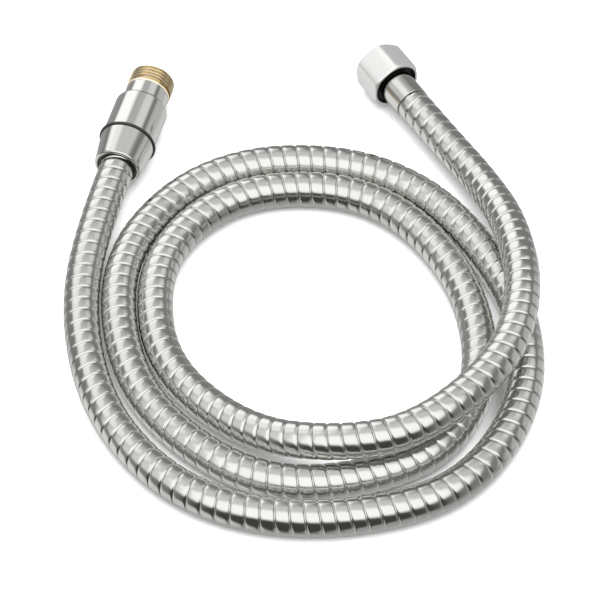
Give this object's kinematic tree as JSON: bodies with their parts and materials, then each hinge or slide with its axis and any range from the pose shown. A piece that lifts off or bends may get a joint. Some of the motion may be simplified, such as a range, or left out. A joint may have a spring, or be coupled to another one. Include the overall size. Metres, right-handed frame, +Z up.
{
  "type": "handheld bath sprayer hose",
  "caption": "Flexible interlocked metal hose in loose loops, with a swivel and male thread at one end and a hex union nut at the other.",
  "frame": {"origin": "on the plane that the hose lies on, below the middle of the whole part's box", "axes": "+Z up from that plane, +Y towards the side where both fittings lie, +X to the right seen from above with +Y away"},
  "size_m": [0.2137, 0.2753, 0.034],
  "materials": {
    "chrome_hose": "polished, interlocked steel strip",
    "chrome_fittings": "mirror polished plating on brass",
    "brass": "machined",
    "black_rubber": "smooth, slightly glossy",
    "dark_plastic": "moulded, dark",
    "white_plastic": "moulded, slippery",
    "tube_rubber": "extruded, smooth",
    "steel": "bright pressed steel"
  },
  "bodies": {
    "hose": {"hose_casing": "chrome_hose", "inner_liner": "tube_rubber", "entry_ring": "dark_plastic", "lower_sleeve": "chrome_fittings", "swivel_tailpiece": "brass", "swivel_liner_clamp": "steel", "sleeve_seal_ring": "black_rubber", "core_o_ring_rear": "black_rubber", "core_o_ring_front": "black_rubber", "nut_ferrule": "chrome_fittings", "nut_tailpiece": "brass", "nut_liner_clamp": "steel", "nut_washer": "black_rubber"},
    "swivel": {"upper_sleeve": "chrome_fittings", "retaining_ring": "steel", "thrust_washer": "white_plastic", "thread_nipple": "brass"},
    "nut_slider": {"slip_ring": "white_plastic"},
    "nut": {"hex_nut": "chrome_fittings"}
  },
  "joints": [
    {"name": "swivel_spin", "type": "hinge", "parent": "hose", "child": "swivel", "pos_m": [-0.07709, 0.09279, 0.0134], "axis": [0.2655, 0.9641, 0], "continuous": true},
    {"name": "nut_float", "type": "slide", "parent": "hose", "child": "nut_slider", "axis": [-0.5253, 0.8509, 0], "range_m": [-0.0015, 0]},
    {"name": "nut_spin", "type": "hinge", "parent": "nut_slider", "child": "nut", "pos_m": [0.03941, 0.12449, 0.013], "axis": [-0.5253, 0.8509, 0], "continuous": true}
  ]
}
